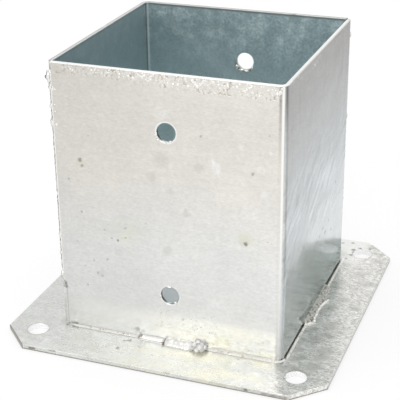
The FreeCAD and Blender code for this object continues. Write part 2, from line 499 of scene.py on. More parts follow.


# Stains at the foot of the front, a painted sheen above its weld, painted light low on it, and painted
# shade in the open seam of the welded corner and in the gap under the sides.
def withFoot(look, wall, colour):
    start, x, z, front, crumb = wall.start, wall.x, wall.z, wall.front, wall.crumb
    stain = (1 - z.ramp(8.0, 24.0)) * front * x.ramp(-16.0, 4.0)
    speckle = cloud(start, joined(start, x * 0.5, wall.y, z), 1.6, 4.0, 0.75)
    colour = (stain * speckle.ramp(0.48, 0.64) * 0.62).toward(colour, look["stain"])
    colour = (stain * (1 - speckle.ramp(0.36, 0.50)) * 0.6).toward(colour, grey(0.95))
    # A painted sheen on the wall above the front weld.
    paintedSheen = (1 - (z - 7.5).size().ramp(1.5, 6.0)) * (1 - (x + 3.0).size().ramp(12.0, 20.0)) * front
    colour = (paintedSheen * wall.blotch.ramp(0.40, 0.60) * 0.40).toward(colour, grey(0.94))
    # Painted light: paler low on the front.
    colour = ((1 - z.ramp(10.0, 34.0)) * front * 0.2).toward(colour, grey(0.93))
    # Painted shade in the open seam below the front left corner weld.
    seam = stripesAt(z, (x + 59.7 + crumb * 0.4).size(), [(0.0, 27.5, 0.8, 0.45, 0.35)]) * front
    colour = seam.toward(colour, look["dark"])
    # Painted shade in the gap under the side walls.
    gapShade = (1 - (z + crumb * 1.6).ramp(4.6, 6.0)) * (1 - wall.broad)
    return gapShade.toward(colour, look["gapShade"])


def withFold(look, wall, colour):           # painted reflections on the folds: two dark lines, stronger near the rim, and a white highlight
    bend, z = wall.bend, wall.z
    high = z.ramp(95.0, 152.0)
    first = bend.band(0.02, 0.20, 0.28, 0.44) * (0.05 + 0.42 * high * high)
    second = bend.band(0.62, 0.84, 0.90, 0.985) * (0.58 * high * high * high)
    level = 1 - (first + second) * wall.fold
    white = wall.fold * bend.ramp(0.36, 0.50) * (1 - bend.ramp(0.60, 0.72))
    colour = (white * (0.35 + 0.65 * z.ramp(20.0, 90.0))).toward(colour, look["fold"])
    return colour.tinted(greyed(wall.start, level))


def insideColour(look, wall):
    start, spot, x, y, z = wall.start, wall.spot, wall.x, wall.y, wall.z
    deep = 1 - z.ramp(82.0, 142.0)
    patch = cloud(start, spot, 6.5, 5.0, 0.65)
    mottle = cloud(start, spot, 1.4, 3.0, 0.7)
    back = y.ramp(55.0, 58.0)
    pale = patch.ramp(0.42, 0.74) * z.ramp(108.0, 146.0) * (0.25 + 0.65 * back)
    # A pale smear runs down the back from its top left.
    slant = (z + x * 0.72 - 108.0).shaken(patch, 16.0).size()
    smear = (1 - slant.ramp(1.0, 5.0)) * back * x.ramp(-56.0, -40.0) * (1 - x.ramp(2.0, 16.0)) * 0.42
    colour = pale.math("MAXIMUM", smear).toward(look["inside"], look["insidePale"])
    colour = deep.toward(colour, look["insideMiddle"])
    colour = (1 - z.ramp(38.0, 54.0)).toward(colour, look["insideDeep"])
    much = back * (0.35 + 0.65 * (z + x * 0.25).ramp(112.0, 140.0))
    level = (1 + (mottle - 0.5) * (0.25 + 0.75 * much)) * (1 + (patch - 0.5) * (0.2 + 0.5 * much))
    # Painted shade: darker on the inside's side walls.
    level = level * (1 - 0.13 * wall.bend)
    colour = colour.tinted(greyed(start, level))
    dots = specks(start, spot, 5.5, 0.30 * back + 0.08, 0.25, 0.62) * z.ramp(100.0, 120.0) * 0.55
    colour = dots.toward(colour, grey(0.97))
    pits = specks(start, spot, 4.0, 0.30, 0.3, 0.8) * back * x.ramp(-14.0, 30.0) * 0.6
    # Painted shade along the inner edge under the rim.
    edge = z.shaken(mottle, 1.6).ramp(151.0, 152.0) * (0.45 + 0.35 * back)
    colour = pits.math("MAXIMUM", edge).toward(colour, look["dark"])
    # The fold at the back left shows a painted highlight line with a painted dark line at its left.
    paleLine = wall.bend.band(0.20, 0.36, 0.62, 0.76) * wall.fold * 0.75
    colour = paleLine.toward(colour, look["insidePale"])
    darkLine = wall.bend.band(0.70, 0.84, 0.93, 0.99) * wall.fold * 0.8
    colour = darkLine.toward(colour, look["dark"])
    away = fromHole(x, z, holeHeights[0])
    crust = (1 - (away - 5.8).size().ramp(0.4, 1.3)) * (1 - (z + x * 0.4).ramp(117.0, 122.5))
    return (crust * mottle.ramp(0.30, 0.55) * back * 0.85).toward(colour, look["brown"])


def withHoles(look, wall, colour):          # a painted highlight round the holes, with painted shade on the left side inside them
    x, y, z = wall.x, wall.y, wall.z
    for height, bright in zip(holeHeights, (0.65, 0.30)):
        away = fromHole(x, z, height)
        ring = (1 - away.shaken(wall.crumb, 0.9).ramp(5.6, 6.2)) * (y < -61.9)
        colour = (ring * bright).toward(colour, grey(0.97))
        lining = (away < 5.12) * (y < -60.2) * (1 - (x + z * 0.4 - height * 0.4).ramp(-4.4, -1.6))
        colour = (lining * 0.85).toward(colour, look["gapShade"])
    return colour


def rimColour(look, wall):                  # a painted highlight, whiter at the front and right
    x, y, blotch = wall.x, wall.y, wall.blotch
    near = (1 - y.ramp(58.0, 62.0)) * x.ramp(-62.0, -60.0)
    near = near.math("MAXIMUM", 1 - y.ramp(-62.0, -60.0))
    white = near.math("MAXIMUM", blotch.ramp(0.50, 0.70) * 0.5)
    colour = white.toward(look["rimGrey"], look["rim"])
    # Dark notches along the back rim, and painted shade where the rim ends in the open corner at the back
    # right.
    notch = blotch.ramp(0.60, 0.68) * y.ramp(58.0, 61.0) * 0.8
    end = 1 - ((x - innerFace).size() + (y - 60.0).size()).ramp(0.8, 2.2)
    colour = notch.math("MAXIMUM", end).toward(colour, look["dark"])
    return colour.tinted(greyed(wall.start, 0.92 + 0.16 * wall.grain))


def makeSheetZinc(look):
    material, start = emptyMaterial("zinc_sheet")
    wall = sheetGround(start)
    side, streaks = sideColour(look, wall)
    outside = wall.broad.toward(side, frontColour(look, wall))
    outside, pits = withMarks(look, wall, outside)
    outside, crumbHeight, looseHeight = withDross(look, wall, outside)
    outside = withFold(look, wall, withFoot(look, wall, outside))
    colour = wall.within.toward(outside, insideColour(look, wall))
    colour = withHoles(look, wall, colour)
    colour = wall.z.ramp(152.2, 152.7).toward(colour, rimColour(look, wall))

    rough = wall.front * (look["frontRough"] - look["sideRough"]) + look["sideRough"]
    bent = wall.fold * wall.bend.ramp(0.05, 0.35) * (1 - wall.bend.ramp(0.80, 0.98)) * wall.without
    rough = rough + (look["insideRough"] - rough) * wall.within + 0.22 * bent
    wave = cloud(start, joined(start, wall.x, wall.y, wall.z * 0.4), 18.0, 2.0)
    height = 0.15 * wave + 0.03 * wall.blotch + 0.025 * wall.crumb + 0.010 * wall.grain
    height = height + 0.010 * streaks * (1 - wall.broad)
    height = height - 0.12 * pits - crumbHeight - looseHeight
    finish(start, look["metallic"] * (1 - 0.5 * bent), colour, rough + 0.1 * (wall.grain - 0.5), height)
    return material


plateZinc = {
    "base": (0.69, 0.70, 0.675, 1.0),
    "pale": (0.88, 0.88, 0.86, 1.0),
    # Pits, scars and smudges, and the painted shade along the toes of the welds.
    "dark": (0.30, 0.29, 0.26, 1.0),
    "warm": (0.76, 0.74, 0.60, 1.0),
    "stain": (0.52, 0.52, 0.42, 1.0),
    # A painted reflection: the anchor holes' walls white.
    "lining": grey(0.97),
    # Painted shade by the foot of the walls, beside the right wall and round the anchor holes' rims.
    "paintedShade": (0.22, 0.21, 0.19, 1.0),
    # Painted shade on the plate's edge faces, and nicks on its front edge.
    "edge": (0.16, 0.14, 0.11, 1.0),
    "metallic": 0.66,
    "rough": 0.28,
}
# Marks on the plate: X, Y, radius, strength.
platePits = [(-23.9, -76.8, 1.5, 0.8), (-20.7, -67.6, 1.2, 0.9), (-23.5, -68.8, 1, 0.8),
             (-22, -68, 1, 0.8), (-16.5, -64, 1.6, 0.8), (-13.5, -64.4, 1.3, 0.7),
             (66.5, 77, 1.9, 1), (67.4, 74, 1.6, 0.9), (66.8, 69.6, 1.7, 0.9),
             (64, 86, 1.8, 0.8), (58, 84, 1.4, 0.7), (85, 84, 1.8, 0.8),
             (70, 80, 1.5, 0.9), (76, 81, 1.6, 0.8), (65, 64, 1.4, 0.7),
             (-59.6, -63.4, 1.3, 0.9), (-55.8, -63.6, 1.5, 0.8), (40, -66, 0.9, 0.6)]
plateSmudges = [(14, -74, 7, 0.7), (2, -72, 8, 0.7), (20, -71, 6, 0.8),
                (72, 2, 6, 0.8), (70, -2, 5, 0.8), (78, -18, 7, 0.8),
                (72, -34, 6, 0.9), (80, -44, 6, 0.7), (69, -56, 5, 0.8),
                (76, 12, 6, 0.6), (-30, -80, 6, 0.4), (84, 6, 5, 0.6),
                (68, 60, 4, 0.5), (-68, -76, 6, 0.3), (70, -74, 7, 0.5),
                (70, 34, 5, 0.6), (80, 26, 5, 0.5), (-10, -82, 7, 0.5),
                (78.4, -60.8, 6, 1), (76.6, -27.9, 5, 1), (80.6, -50.9, 6, 0.9),
                (68, -24, 4, 0.8), (66, -48, 5, 0.8), (-46, -74, 8, 0.7),
                (-36, -82, 7, 0.7), (-12, -74, 6, 0.6), (66, 58, 6, 0.9), (84, 66, 5, 0.8),
                (79, 46, 6, 0.7), (64, 70, 4, 0.8)]
# Painted shade along the toes of the welds: from X, to X, Y, half width, strength.
plateToeShade = [(-13, -3, -65.3, 0.4, 0.5), (-2, 12.5, -67.2, 0.5, 0.2), (-54, -18, -64.3, 0.7, 0.30),
              (22, 57, -64, 0.45, 0.35)]
# Marks on its front edge: from X, to X, Z, half width, strength.
edgeMarks = [(-70, -66, 1.6, 0.9, 0.8), (50.8, 52.8, 1.6, 1, 0.8), (60, 73.8, 1.4, 0.9, 0.5),
             (-58, -54, 2.4, 0.7, 0.5), (8, 11, 2.4, 0.6, 0.4)]


def plateMargins(start, look, places, colour, blotch, grain):       # painted shade and highlight by the walls, painted light inside, painted reflections in the anchor holes and painted shade on the edges
    x, y, z = places
    out = x.size().math("MAXIMUM", y.size()) - outerFace
    beside = x.ramp(60.0, 66.0)
    # Painted shade on the plate by the foot of the front, back and left walls, and in the gap beside the
    # right wall.
    shade = (1 - out.shaken(blotch, 1.6).ramp(0.6, 3.6)) * (1 - beside) * 0.22
    gapShade = (1 - out.shaken(grain, 0.6).ramp(0.2, 0.7)) * beside
    colour = shade.math("MAXIMUM", gapShade).toward(colour, look["paintedShade"])
    # A painted highlight along the plate beside the right wall.
    bright = out.shaken(grain, 0.8).band(0.4, 0.8, 1.5, 2.1) * beside
    colour = (bright * blotch.ramp(0.20, 0.40)).toward(colour, grey(0.98))
    # Painted light: inside the socket the plate is paler towards the back.
    inner = greyed(start, 0.86 + 0.12 * y.shaken(blotch, 30.0).ramp(-24.0, 20.0))
    inside = out < -1.0
    colour = inside.toward(colour, inner)
    # Painted reflection: the anchor holes' walls white, with painted shade round their rims.
    dx, dy = x.size() - anchorPlace, y.size() - anchorPlace
    toHole = (dx * dx + dy * dy).math("SQRT")
    lining = 1 - toHole.ramp(5.6, 5.9)
    outline = (1 - (toHole + grain * 0.5 - 6.2).size().ramp(0.1, 0.6)) * blotch.ramp(0.35, 0.6) * 0.45
    colour = outline.toward(colour, look["paintedShade"])
    colour = lining.toward(colour, look["lining"])
    dot = spotsAt(x, y, [(68.0, -75.6, 0.9, 0.9), (67.3, -72.6, 0.8, 0.6)])
    colour = dot.toward(colour, look["paintedShade"])
    # Painted shade along the bottom of the edge, on the front left cut corner and low on the right edge,
    # with marks on the front edge.
    foot = (1 - z.ramp(0.5, 1.1)) * 0.8
    cut = (0 - x - y).ramp(163.2, 163.7) * (0.65 + 0.3 * blotch)
    right = x.ramp(89.5, 89.8) * (1 - z.ramp(2.3, 2.7)) * 0.45
    marks = stripesAt(x.shaken(grain, 3.0), z.shaken(blotch, 2.0), edgeMarks) * (y < -89.2)
    dark = foot.math("MAXIMUM", cut).math("MAXIMUM", right).math("MAXIMUM", marks) * (1 - lining)
    return dark.toward(colour, look["edge"]), 1 - lining, inside


def makePlateZinc(look):
    material, start = emptyMaterial("zinc_plate")
    spot = spotInMm(start)
    x, y, z = apart(start, spot)
    beside = x.ramp(60.0, 66.0)             # the margin at the right is coarser
    clouds = cloud(start, spot, 22.0, 3.0)
    blotch = cloud(start, joined(start, x * 0.5, y + x * 0.15, z), 4.2, 5.0, 0.68)
    grain = cloud(start, joined(start, x * 0.6, y, z), 1.1, 4.0, 0.75)
    patch = cloud(start, joined(start, x * 0.45, y + x * 0.15, z), 9.0, 4.0, 0.6)
    level = (0.92 + 0.16 * clouds) * (1 + (blotch - 0.5) * (0.35 + 0.45 * beside))
    level = level * (1 + (grain - 0.5) * (0.85 + 1.90 * beside)) * (1 + 0.10 * beside)
    level = level * (0.93 + 0.07 * x.ramp(-84.0, -50.0)) * (1 - 0.12 * x.ramp(10.0, 40.0) * (1 - beside))
    colour = greyed(start, level).tinted(look["base"])
    colour = beside.toward(colour, colour.tinted((1.0, 0.975, 0.965, 1.0)))
    scar = patch.ramp(0.52, 0.66) * grain.ramp(0.40, 0.56) * (0.10 + 0.45 * beside)
    smudge = spotsAt(x.shaken(blotch, 14.0), y.shaken(patch, 12.0), plateSmudges)
    smudge = smudge * grain.ramp(0.34, 0.60) * 0.55
    colour = scar.math("MAXIMUM", smudge * beside).toward(colour, look["dark"])
    colour = (smudge * (1 - beside)).toward(colour, look["stain"])
    pale = cloud(start, spot, 7.0, 4.0).ramp(0.56, 0.72) * 0.45
    corner = (x + y).shaken(patch, 40.0).ramp(120.0, 140.0) * (1 - x.ramp(71.0, 78.0)) * 0.90
    colour = pale.math("MAXIMUM", corner).toward(colour, look["pale"])
    warm = x.band(-40.0, 20.0, 52.0, 64.0) * (1 - y.ramp(-66.0, -60.0))
    colour = (warm * patch.ramp(0.36, 0.60) * 0.7).toward(colour, look["warm"])
    pits = spotsAt(x.shaken(grain, 3.0), y.shaken(blotch, 3.0), platePits)
    # The pits take in the painted shade along the toes.
    pits = pits.math("MAXIMUM", stripesAt(x, y + blotch - 0.5, plateToeShade))
    pits = pits.math("MAXIMUM", specks(start, spot, 4.5, 0.2, 0.25, 0.7) * 0.6)
    colour = pits.toward(colour, look["dark"])
    colour, plain, inside = plateMargins(start, look, (x, y, z), colour, blotch, grain)
    height = (0.10 * clouds + 0.06 * blotch + (0.03 + 0.03 * beside) * grain - 0.08 * pits) * plain
    metallic = look["metallic"] * (1 - 0.95 * inside)
    finish(start, metallic, colour, look["rough"] + 0.12 * (blotch - 0.5), height)
    return material


# Weld metal is zinc over a rippled bead: brighter, with dark pits between its ripples.
weldZinc = {
    "base": (0.83, 0.82, 0.79, 1.0),
    "pit": (0.26, 0.23, 0.19, 1.0),
    # Painted shade on the side of the front left corner weld that faces left.
    "leftShade": (0.07, 0.065, 0.055, 1.0),
    "pitShare": 0.67,                       # noise above this is a pit
    "metallic": 0.75,
    "rough": 0.24,
}
rustyWeldZinc = dict(weldZinc, base=(0.50, 0.50, 0.46, 1.0), pit=(0.25, 0.23, 0.19, 1.0), pitShare=0.54)
dropZinc = dict(weldZinc, base=(0.86, 0.85, 0.81, 1.0), pit=(0.55, 0.50, 0.42, 1.0))
filletZinc = dict(weldZinc, base=(0.78, 0.77, 0.73, 1.0), pit=(0.50, 0.47, 0.40, 1.0), pitShare=0.56)
# Dark pits in the front weld: along the wall, up from the floor, radius, strength.
weldPits = [(-17.5, 3.8, 1.3, 0.9), (-16, 4.4, 1.1, 0.9), (-2.3, 4, 0.9, 0.9),
            (-2, 5.2, 0.8, 0.8), (13.8, 4.2, 0.9, 0.7), (16, 6.4, 0.8, 0.5), (17.4, 3.6, 0.8, 0.3),
            (20, 5.9, 0.7, 0.6), (21.6, 4.4, 0.8, 0.5), (15, 3.4, 0.7, 0.5)]


def makeWeldZinc(name, look):
    material, start = emptyMaterial(name)
    spot = spotInMm(start)
    x, y, z = apart(start, spot)
    grain = cloud(start, spot, 0.9, 3.0, 0.6)
    blotch = cloud(start, spot, 2.0, 4.0, 0.65)
    pit = blotch.ramp(look["pitShare"], look["pitShare"] + 0.06)
    pit = pit.math("MAXIMUM", spotsAt(x + grain - 0.5, z, weldPits) * (y < -60.0))
    facing = start.node("ShaderNodeNewGeometry", {}, {}, "Normal")
    # The lump on the front bead is duller.
    dull = (1 - (x - 17.5).size().ramp(4.5, 6.5)) * (y < -60.0) * 0.7
    colour = pit.toward(look["base"], look["pit"])
    colour = colour.tinted(greyed(start, 0.84 + 0.32 * grain))
    colour = (dull * 0.8).toward(colour, grey(0.93))
    # Painted shade on the side of the bead at the front left corner that faces left.
    left = (0 - apart(start, facing)[0]).shaken(grain, 0.3).ramp(0.36, 0.58)
    leftShade = left * (x < -60.0) * (z > 25.0) * (blotch + z.ramp(112.0, 130.0)).ramp(0.36, 0.50)
    colour = (leftShade * 0.95).toward(colour, look["leftShade"])
    rough = look["rough"] + 0.25 * pit + 0.45 * leftShade + 0.3 * dull
    metallic = look["metallic"] * (1 - leftShade.math("MAXIMUM", dull))
    finish(start, metallic, colour, rough, 0.05 * grain + 0.12 * blotch)
    return material


def emptyGroup(name, inlets):               # a Geometry Nodes tree with these named inputs
    tree = bpy.data.node_groups.new(name, "GeometryNodeTree")
    tree.interface.new_socket("Geometry", in_out="INPUT", socket_type="NodeSocketGeometry")
    for label, kind in inlets.items():
        tree.interface.new_socket(label, in_out="INPUT", socket_type="NodeSocket" + kind)
    tree.interface.new_socket("Geometry", in_out="OUTPUT", socket_type="NodeSocketGeometry")
    entry = tree.nodes.new("NodeGroupInput")
    start = Wire(tree)
    return tree, start, {socket.name: Wire(tree, socket) for socket in entry.outputs if socket.name}


def grown(name, source, tree, values):      # the plain mesh that the tree makes out of the source
    bpy.context.scene.collection.objects.link(source)
    modifier = source.modifiers.new("grow", "NODES")
    modifier.node_group = tree
    for item in tree.interface.items_tree:
        if item.in_out == "INPUT" and item.name in values:
            modifier[item.identifier] = values[item.name]
    evaluated = source.evaluated_get(bpy.context.evaluated_depsgraph_get())
    mesh = bpy.data.meshes.new_from_object(evaluated)
    mesh.name = name
    bpy.data.objects.remove(source)
    return mesh


beadFine = {
    "ringPoints": 40,
    "thinnest": 0.12,                       # of the bead's full size, at its very ends
    "crownAngle": 0.785,                    # radians from the plate, where the ripples reach furthest
    "bow": 1.1,                             # ripples by which they lag behind at its sides
    "turn": 6.2832,                         # radians, from one ripple to the next
    "mergeWithin": 0.00002,                 # m: points nearer than this become one
}


def beadTree(fine):                         # metal laid along a path, in the corner under it
    kinds = {"Step": "Float", "Reach": "Float", "Rise": "Float", "Hollow": "Float", "Sunk": "Float",
             "Ripple pitch": "Float", "Ripple height": "Float", "Roughness": "Float",
             "Lump size": "Float", "End length": "Float", "Seed": "Float", "Material": "Material"}
    tree, start, given = emptyGroup("bead", kinds)
    track = start.node("GeometryNodeResampleCurve", {"mode": "LENGTH"},
                       {"Curve": given["Geometry"], "Length": given["Step"]})
    gone = start.node("GeometryNodeSplineParameter", {}, {}, "Length")
    whole = start.node("GeometryNodeSplineLength", {}, {}, "Length")
    place = start.node("GeometryNodeInputPosition", {}, {})
    ring = start.node("GeometryNodeCurvePrimitiveCircle", {},
                      {"Resolution": fine["ringPoints"], "Radius": 1.0})
    ringX = start.node("ShaderNodeSeparateXYZ", {}, {0: place}, 0)
    ringY = start.node("ShaderNodeSeparateXYZ", {}, {0: place}, 1)
    sunk = 0 - given["Sunk"]
    away = ringX.math("MAXIMUM", 0.0).math("POWER", given["Hollow"]) * given["Reach"]
    away = away + (ringX < 0.0) * sunk
    above = ringY.math("MAXIMUM", 0.0).math("POWER", given["Hollow"]) * given["Rise"]
    above = above + (ringY < 0.0) * sunk
    shaped = start.node("GeometryNodeSetPosition", {},
                        {"Geometry": ring, "Position": joined(start, away, 0 - above, 0.0)})
    turn = start.node("ShaderNodeMath", {"operation": "ARCTAN2"}, {0: above, 1: away})
    kept = tree.nodes.new("GeometryNodeCaptureAttribute")
    kept.capture_items.new("FLOAT", "gone")
    kept.capture_items.new("FLOAT", "whole")
    kept.capture_items.new("VECTOR", "root")
    tree.links.new(track.socket, kept.inputs[0])
    for index, wire in enumerate((gone, whole, place)):
        tree.links.new(wire.socket, kept.inputs[index + 1])
    turned = tree.nodes.new("GeometryNodeCaptureAttribute")
    turned.capture_items.new("FLOAT", "turn")
    tree.links.new(shaped.socket, turned.inputs[0])
    tree.links.new(turn.socket, turned.inputs[1])
    tube = start.node("GeometryNodeCurveToMesh", {}, {
        "Curve": Wire(tree, kept.outputs[0]), "Profile Curve": Wire(tree, turned.outputs[0]),
        "Fill Caps": True})
    along, length, root = (Wire(tree, kept.outputs[k]) for k in (1, 2, 3))
    angle = Wire(tree, turned.outputs[1])
    toEnd = along.math("MINIMUM", length - along) / given["End length"]
    near = 1.0 - toEnd.math("MINIMUM", 1.0)
    taper = (1.0 - near * near).math("SQRT").math("MAXIMUM", fine["thinnest"])
    bow = (angle - fine["crownAngle"]) * (angle - fine["crownAngle"]) * fine["bow"]
    ripple = ((along / given["Ripple pitch"] + bow) * fine["turn"]).math("SINE") * given["Ripple height"]
    uneven = {"Vector": place, "W": given["Seed"], "Scale": 1 / given["Lump size"], "Detail": 3.0}
    lumps = start.node("ShaderNodeTexNoise", {"noise_dimensions": "4D"}, uneven) - 0.5
    swell = taper * (1.0 + ripple + lumps * given["Roughness"])
    away = start.node("ShaderNodeVectorMath", {"operation": "SUBTRACT"}, {0: place, 1: root})
    scaled = start.node("ShaderNodeVectorMath", {"operation": "SCALE"}, {0: away, "Scale": swell})
    moved = start.node("ShaderNodeVectorMath", {"operation": "ADD"}, {0: root, 1: scaled})
    bead = start.node("GeometryNodeSetPosition", {}, {"Geometry": tube, "Position": moved})
    bead = start.node("GeometryNodeMergeByDistance", {},
                      {"Geometry": bead, "Distance": fine["mergeWithin"]})
    bead = start.node("GeometryNodeRealizeInstances", {}, {"Geometry": bead})
    done = start.node("GeometryNodeSetMaterial", {}, {"Geometry": bead, "Material": given["Material"]})
    start.node("NodeGroupOutput", {}, {0: done})
    return tree


def pathCurve(points):                      # a poly curve through points in mm
    data = bpy.data.curves.new("path", "CURVE")
    data.dimensions = "3D"
    spline = data.splines.new("POLY")
    spline.points.add(len(points) - 1)
    for knot, place in zip(spline.points, points):
        knot.co = (*(Vector(place) * mm), 1.0)
    return bpy.data.objects.new("path", data)


beadShape = {                               # mm, turned into metres when it is used
    "Step": 0.3, "Reach": 4.6, "Rise": 4.4, "Sunk": 0.35, "Ripple pitch": 3.3, "Lump size": 1.8,
    "End length": 3.0,
}
beadNature = {"Hollow": 1.6, "Ripple height": 0.012, "Roughness": 0.30, "Seed": 0.0}
# Each bead: the path in mm (along, out from the wall, up from the plate) and what differs.
footWelds = {
    "front": [
        {"path": [(-18, 0, 0), (-2.4, 0, 0)], "Reach": 1.5, "Rise": 1.8, "Seed": 3.0},
        {"path": [(-17, 1.9, 0), (-9, 2.1, 0), (-2.8, 2.4, 0)], "Reach": 0.7, "Rise": 0.4, "Seed": 5.0},
        {"path": [(-3, 0, 0), (14.5, 0, 0)], "Reach": 4.2, "Rise": 2.9, "Hollow": 1.3, "Seed": 7.0},
        {"path": [(13, 0, 0), (20.8, 0, 0)], "Reach": 3.6, "Rise": 3.6, "Roughness": 1.0, "Seed": 9.0},
    ],
    "right": [
        {"path": [(-21, 0, 0), (26, 0, 0)], "Reach": 3.4, "Rise": 2.4, "Hollow": 1.7, "Roughness": 0.55,
         "Ripple height": 0.0, "Lump size": 0.7, "Seed": 8.0},
    ],
    "back": [
        {"path": [(-19.5, 0, 0), (4, 0, 0)], "Reach": 3.6, "Rise": 3.2, "Ripple height": 0.04,
         "Roughness": 0.55, "Lump size": 1.2, "Seed": 15.0},
        {"path": [(2, 0, 0), (22, 0, 0)], "Reach": 4.2, "Rise": 3.0, "Ripple height": 0.05,
         "Roughness": 0.7, "Lump size": 1.1, "Seed": 17.0},
    ],
    "left": [
        {"path": [(-21, 0, 0), (-3, 0, 0)], "Reach": 3.9, "Rise": 3.3, "Ripple height": 0.05,
         "Roughness": 0.7, "Lump size": 1.1, "Seed": 21.0},
        {"path": [(-5, 0, 0), (19.5, 0, 0)], "Reach": 3.4, "Rise": 2.9, "Ripple height": 0.04,
         "Roughness": 0.5, "Lump size": 1.3, "Seed": 23.0},
    ],
}
# Drops at the rims of the bolt holes, and two inside the hole at the back.
holeLumps = [((-4.3, 0.2, 118.4), (0.7, 0.5, 1.1), 51), ((-3.2, 0.2, 115.6), (0.9, 0.5, 0.7), 52),
             ((0.2, 0.2, 114.2), (1.2, 0.5, 0.6), 53), ((3.4, 0.1, 115.2), (0.8, 0.4, 0.5), 54),
             ((-4.2, 0.1, 27.4), (0.5, 0.4, 1), 55), ((4.2, 0.2, 24.9), (0.9, 0.5, 0.7), 56),
             ((0.6, 0.1, 33.6), (1.3, 0.4, 0.5), 57), ((-4, -122.9, 115.8), (1, 0.5, 1.2), 58),
             ((-1.4, -122.9, 114), (1.6, 0.5, 0.7), 59), ((1.8, -122.9, 113.8), (1.6, 0.5, 0.6), 61),
             ((5.4, -122.9, 115.6), (0.7, 0.5, 1.3), 60)]
# The right weld has a bright ridge of zinc along its toe.
toeRidge = {"path": [(-21.6, 0.7, 0), (-18.6, 2.8, 0), (-16.4, 4.2, 0), (-10, 3.3, 0), (-3, 3.0, 0),
                     (2, 3.3, 0), (6, 4.1, 0), (9.6, 5.8, 0)],
            "Reach": 0.9, "Rise": 0.8, "Ripple height": 0.0, "Roughness": 1.6, "Lump size": 1.5,
            "End length": 1.2, "Seed": 11.0}
toeLumps = [((-21.2, 1, 0.5), (1.5, 1, 0.8), 7), ((-16.4, 4.4, 0.5), (1.2, 1, 0.8), 8),
            ((-18.6, 2.8, 0.5), (1, 0.8, 0.7), 14), ((-12.4, 3.5, 0.5), (0.9, 0.7, 0.7), 15),
            ((-6, 3.2, 0.5), (1, 0.6, 0.7), 16), ((1.4, 3.3, 0.5), (0.8, 0.7, 0.6), 17),
            ((8.8, 5.6, 0.4), (0.9, 0.8, 0.7), 9)]
sideTurns = {"front": 0, "right": 90, "back": 180, "left": 270}
footLumps = {                               # mm: (along, out, up), radii, seed
    "front": [((15.4, 2.2, 2.7), (1.3, 1.3, 1.5), 1), ((18.6, 2.8, 2.2), (1.6, 1.7, 1.5), 2),
              ((17, 4.4, 0.8), (1.4, 1.1, 1), 3), ((20.6, 1.4, 1.8), (1.3, 1.2, 1.3), 4),
              ((16.8, 0.9, 4.2), (1.2, 0.9, 0.9), 16), ((13.9, 3.4, 0.9), (1, 1, 0.9), 17),
              ((-2.6, 2.2, 0.8), (0.6, 1.5, 1), 5)],
    "right": [((14, 1.2, 1.4), (2, 1, 1.4), 10), ((-6, 1.4, 1.2), (1.6, 1, 1.2), 18)],
    "back": [((21.4, 1.4, 1.2), (1.8, 1.8, 1.6), 12), ((3, 2, 1.6), (1.5, 1.6, 1.4), 19),
             ((18.6, 2.6, 1.4), (1.5, 1.4, 1.5), 20)],
    "left": [((-20, 1.4, 1.2), (1.9, 1.8, 1.5), 13), ((-17, 2.4, 1.8), (1.6, 1.5, 1.4), 21),
             ((-4, 1.8, 1.4), (1.4, 1.6, 1.4), 22)],
}
cornerBead = {"path": [(-148, 0, 0), (-29, 0, 0)], "Reach": 1.9, "Rise": 1.9, "Hollow": 1.0,
              "Ripple pitch": 2.1, "Ripple height": 0.035, "Roughness": 0.30, "End length": 1.6}
cornerLumps = {
    "front_left": [((-144.2, 1.6, 0.4), (3.2, 2.1, 1.3), 31), ((-147, 0.9, 0.6), (1.2, 1, 1), 32),
                   ((-139.5, 1.2, 0.6), (2, 1.2, 1.2), 33), ((-129, 1.1, 1), (1.5, 1, 1.1), 34),
                   ((-120, 1.3, 0.7), (2.2, 1.1, 1.2), 35), ((-56.5, 1, 1.2), (1.6, 0.9, 1), 36),
                   ((-46, 1, 1.3), (1, 0.8, 0.9), 37), ((-33, 1, 1.2), (2.4, 1.1, 1), 38)],
    "back_right": [((-144, 1.4, 0.5), (2.2, 0.9, 0.9), 41), ((-96, 1.3, 0.8), (2, 0.8, 0.8), 42),
                   ((-44, 1.2, 0.8), (2.2, 0.8, 0.8), 43)],
}


def inMetres(values):
    return {label: value * mm if label in beadShape else value for label, value in values.items()}


def sideFrame(side):                        # local: X along the foot, -Y out, Z up from the plate
    place = Matrix.Translation((0, -outerFace * mm, plateTop))
    return Matrix.Rotation(math.radians(sideTurns[side]), 4, "Z") @ place


def grownBead(tree, bead, material):
    source = pathCurve([(x, -y, z) for x, y, z in bead["path"]])
    values = inMetres({**beadShape, **beadNature, **bead})
    return grown("bead", source, tree, dict(values, Material=material))


lumpSwell = {"broad": 0.45, "fine": 0.16}   # shares of a lump's radius
lumpTurns = {"broad": 1.6, "fine": 4.5}     # how fast they come and go over it


def addLump(bm, centre, radii, seed):
    made = bmesh.ops.create_icosphere(bm, subdivisions=3, radius=1.0)
    for vertex in made["verts"]:
        unit = vertex.co.copy()
        broad = noise.noise(unit * lumpTurns["broad"] + Vector((seed, 0, seed)))
        fine = noise.noise(unit * lumpTurns["fine"] + Vector((0, seed, 0)))
        swell = 1.0 + lumpSwell["broad"] * broad + lumpSwell["fine"] * fine
        x, y, z = (unit[k] * radii[k] * swell for k in range(3))
        vertex.co = Vector((centre[0] + x, -centre[1] + y, centre[2] + z)) * mm


def joinedMesh(name, meshes, lumps, material):
    bm = bmesh.new()
    for mesh in meshes:
        bm.from_mesh(mesh)
        bpy.data.meshes.remove(mesh)
    for centre, radii, seed in lumps:
        addLump(bm, centre, radii, seed)
    bmesh.ops.recalc_face_normals(bm, faces=bm.faces)
    joined = bpy.data.meshes.new(name)
    bm.to_mesh(joined)
    bm.free()
    joined.materials.append(material)
    return joined


def addPiece(name, mesh, slot, *stoodFor):
    piece = bpy.data.objects.new(name, mesh)
    bpy.context.scene.collection.objects.link(piece)
    mesh.shade_smooth()
    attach(piece, "root")
    if stoodFor:
        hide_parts(*stoodFor)


